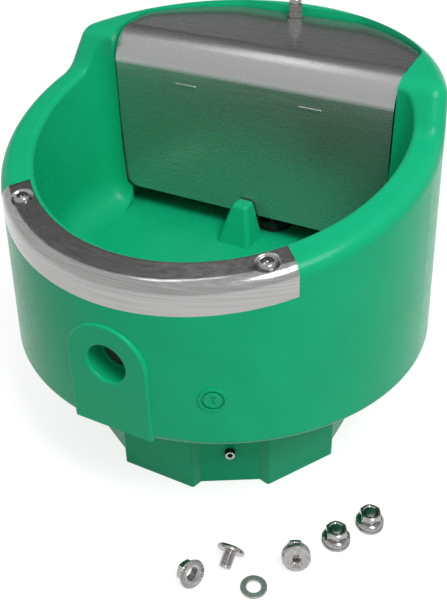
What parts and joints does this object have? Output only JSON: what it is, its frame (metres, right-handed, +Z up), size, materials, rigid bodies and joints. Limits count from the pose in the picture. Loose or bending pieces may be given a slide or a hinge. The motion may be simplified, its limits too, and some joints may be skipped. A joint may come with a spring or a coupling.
{
  "type": "livestock drinking bowl",
  "caption": "Insulated round drinking bowl for livestock on a twelve-sided foot, with sloped rim, steel rim guard, float valve under a bent cover, drain stopper and loose fixing kit.",
  "frame": {"origin": "centre of the foot's bore in the plane of the floor", "axes": "+Z up, -Y towards the drinking side, +X to the right seen from the front"},
  "size_m": [0.4302, 0.4605, 0.3911],
  "materials": {
    "bowl_plastic": "rotomoulded polyethylene, satin, fine moulded grain",
    "insulating_foam": "polyurethane foam",
    "brushed_stainless": "brushed stainless sheet",
    "stainless_fasteners": "bright stainless, machined",
    "stainless_pipe": "drawn stainless tube",
    "brass": "machined brass, slightly dulled",
    "brass_lever": "cast brass with turned rod",
    "white_nylon": "moulded nylon",
    "black_nylon": "glass-filled nylon, moulded",
    "black_rubber": "moulded rubber",
    "float_plastic": "moulded float shell"
  },
  "bodies": {
    "bowl": {"bowl_body": "bowl_plastic", "foam_core": "insulating_foam", "fill_plug": "bowl_plastic", "rim_guard": "brushed_stainless", "rim_screws": "stainless_fasteners", "rim_inserts": "brass", "stud_insert": "brass", "cover_stud": "stainless_fasteners", "base_screws": "stainless_fasteners", "base_inserts": "brass", "inlet_gasket": "black_rubber", "inlet_fitting": "black_nylon", "inlet_locknut": "black_nylon", "riser_pipe": "stainless_pipe", "valve_body": "brass", "valve_nozzle": "white_nylon", "valve_cap": "white_nylon", "pivot_pin": "stainless_fasteners"},
    "cover": {"cover": "brushed_stainless"},
    "cover_nuts": {"cover_washer": "stainless_fasteners", "cover_locknut": "stainless_fasteners", "dome_nut": "stainless_fasteners"},
    "float": {"float_arm": "brass_lever", "float_ball": "float_plastic", "float_nut": "stainless_fasteners"},
    "piston": {"valve_piston": "brass", "piston_seal": "black_rubber"},
    "stopper": {"drain_stopper": "black_rubber"},
    "fixing_kit": {"kit_bolts": "stainless_fasteners", "kit_washers": "stainless_fasteners", "kit_nuts": "stainless_fasteners"}
  },
  "joints": [
    {"name": "cover_lift", "type": "slide", "parent": "bowl", "child": "cover", "axis": [0, 0, 1], "range_m": [0, 0.2]},
    {"name": "cover_nuts_off", "type": "slide", "parent": "cover", "child": "cover_nuts", "axis": [0, 0, 1], "range_m": [0, 0.03]},
    {"name": "float_swing", "type": "hinge", "parent": "bowl", "child": "float", "pos_m": [-0.006, 0.078, 0.29], "axis": [0, 1, 0], "range_deg": [0, 20]},
    {"name": "piston_slide", "type": "slide", "parent": "bowl", "child": "piston", "axis": [1, 0, 0], "range_m": [0, 0.0049]},
    {"name": "stopper_pull", "type": "slide", "parent": "bowl", "child": "stopper", "axis": [0, 1, 0], "range_m": [0, 0.03]},
    {"name": "kit_lift", "type": "slide", "parent": "bowl", "child": "fixing_kit", "axis": [0, 0, 1], "range_m": [0, 0.1]}
  ],
  "couplings": [
    {"joint": "piston_slide", "follows": "float_swing", "m_per_rad": 0.014}
  ]
}
